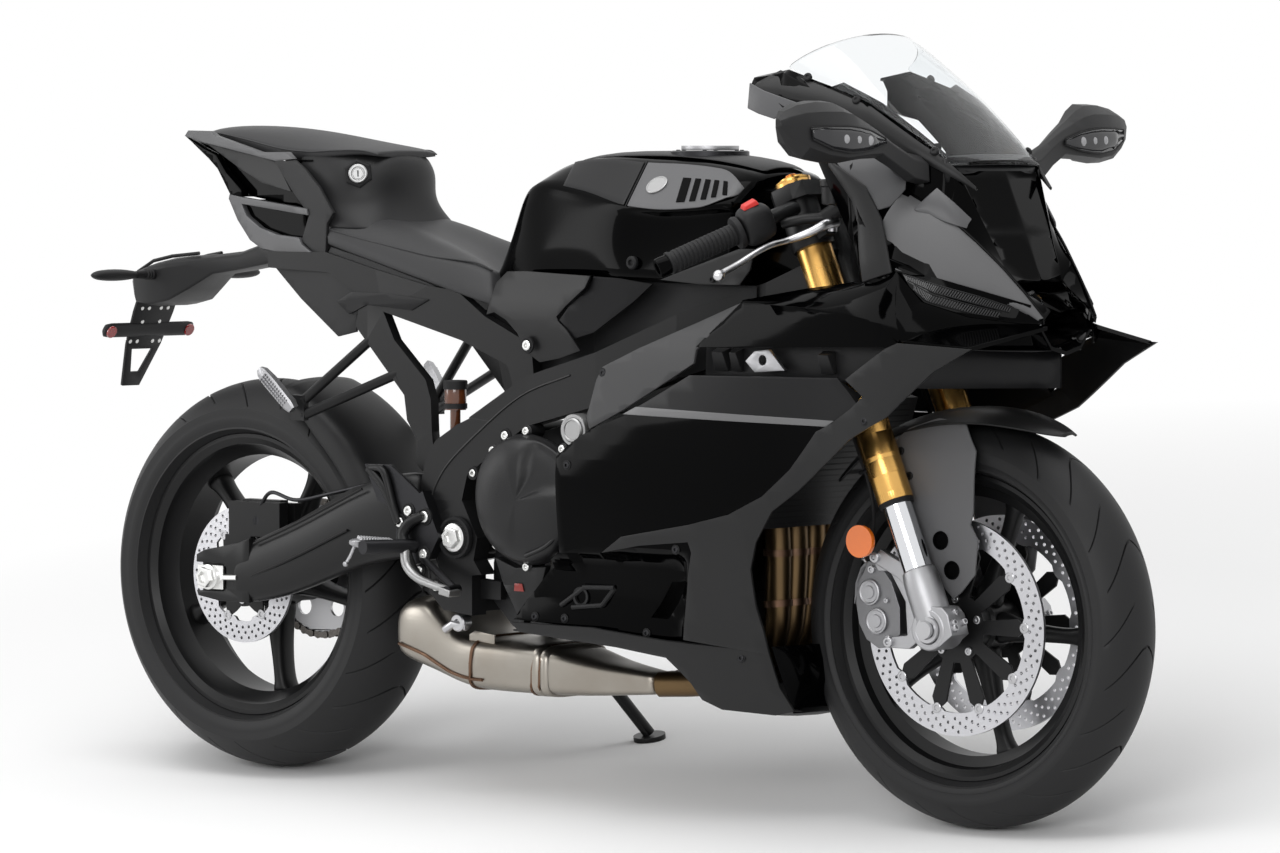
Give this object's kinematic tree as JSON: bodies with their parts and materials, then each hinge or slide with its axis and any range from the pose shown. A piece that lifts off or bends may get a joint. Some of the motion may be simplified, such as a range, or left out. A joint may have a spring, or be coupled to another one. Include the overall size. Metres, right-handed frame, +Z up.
{
  "type": "sport motorcycle",
  "caption": "Fully faired sport motorcycle with a clear screen, gold telescopic forks, winglets and an under-engine silencer, leaning on its side stand.",
  "frame": {"origin": "middle of the bounding box's base, on the ground", "axes": "+X forwards along the wheelbase, +Y to the rider's left, +Z up from the ground; the machine leans 11 degrees to its left"},
  "size_m": [2.0628, 0.837, 1.1639],
  "materials": {
    "amber_plastic": "amber fluid cup",
    "bronze_steel": "heat-tinted steel tube",
    "cast_alloy": "silver cast alloy",
    "clear_screen": "clear screen",
    "disc_steel": "ground steel",
    "engine_black": "crinkle-free dark engine paint over cast alloy",
    "gloss_black": "gloss black paint",
    "gold": "gold anodised tube",
    "lamp_lens": "smoked lamp lens",
    "matte_plastic": "moulded black plastic",
    "orange_lens": "orange reflector",
    "raw_steel": "brushed raw steel with brown welds",
    "red_lens": "red lamp lens",
    "satin_black": "satin black powder coat",
    "satin_plastic": "satin dark grey plastic",
    "seat_vinyl": "grained black seat cover",
    "steel": "bare steel",
    "tyre": "matte rubber with road tread"
  },
  "bodies": {
    "chassis": {"belly_pan": "satin_plastic", "brake_reservoir": "amber_plastic", "chain": "steel", "dashboard": "matte_plastic", "engine_block": "engine_black", "engine_covers": "engine_black", "exhaust_headers": "bronze_steel", "frame": "satin_black", "fuel_tank": "gloss_black", "headlamp": "lamp_lens", "hugger": "matte_plastic", "mirrors": "matte_plastic", "muffler": "raw_steel", "passenger_seat": "seat_vinyl", "plate_holder": "matte_plastic", "radiator": "engine_black", "rear_axle": "steel", "rear_caliper": "satin_black", "rear_indicators": "matte_plastic", "rear_shock": "satin_black", "rearsets": "cast_alloy", "rider_seat": "seat_vinyl", "running_lights": "lamp_lens", "side_fairing_left": "gloss_black", "side_fairing_right": "gloss_black", "subframe": "satin_black", "swingarm": "satin_black", "swingarm_pivot": "steel", "tail_covers": "satin_plastic", "tail_cowl": "gloss_black", "taillight": "red_lens", "tank_covers": "satin_plastic", "upper_cowl": "gloss_black", "windscreen": "clear_screen", "winglets": "gloss_black"},
    "steering": {"triple_clamps": "satin_black", "fork_uppers": "gold", "fork_lowers": "cast_alloy", "front_fender": "satin_plastic", "handlebars": "satin_black", "front_calipers": "cast_alloy", "front_axle": "steel", "side_reflectors": "orange_lens"},
    "front_wheel": {"front_rim": "satin_black", "front_tyre": "tyre", "front_discs": "disc_steel"},
    "rear_wheel": {"rear_rim": "satin_black", "rear_tyre": "tyre", "rear_disc": "disc_steel", "rear_sprocket": "steel"},
    "side_stand": {"side_stand": "satin_black"},
    "cap_lid": {"fuel_cap_lid": "cast_alloy"},
    "peg_right": {"passenger_peg_right": "cast_alloy"},
    "peg_left": {"passenger_peg_left": "cast_alloy"}
  },
  "joints": [
    {"name": "steering_head", "type": "hinge", "parent": "chassis", "child": "steering", "pos_m": [0.49116, -0.04404, 0.79043], "axis": [-0.3843, 0.1762, 0.9062], "range_deg": [-27, 27]},
    {"name": "front_wheel_spin", "type": "hinge", "parent": "steering", "child": "front_wheel", "pos_m": [0.7315, -0.14021, 0.29569], "axis": [0, 0.9816, -0.1908], "continuous": true},
    {"name": "rear_wheel_spin", "type": "hinge", "parent": "chassis", "child": "rear_wheel", "pos_m": [-0.6885, -0.13719, 0.31121], "axis": [0, 0.9816, -0.1908], "continuous": true},
    {"name": "side_stand_hinge", "type": "hinge", "parent": "chassis", "child": "side_stand", "pos_m": [-0.2105, -0.0138, 0.23323], "axis": [0.0615, 0.8934, 0.445], "range_deg": [0, 100.1]},
    {"name": "cap_lid_hinge", "type": "hinge", "parent": "chassis", "child": "cap_lid", "pos_m": [0.2665, -0.00601, 0.98608], "axis": [0, 0.9816, -0.1908], "range_deg": [0, 100]},
    {"name": "peg_right_fold", "type": "hinge", "parent": "chassis", "child": "peg_right", "pos_m": [-0.4905, -0.25787, 0.61278], "axis": [1, 0, 0], "range_deg": [0, 85]},
    {"name": "peg_left_fold", "type": "hinge", "parent": "chassis", "child": "peg_left", "pos_m": [-0.4905, 0.08767, 0.54561], "axis": [-1, 0, 0], "range_deg": [0, 85]}
  ]
}
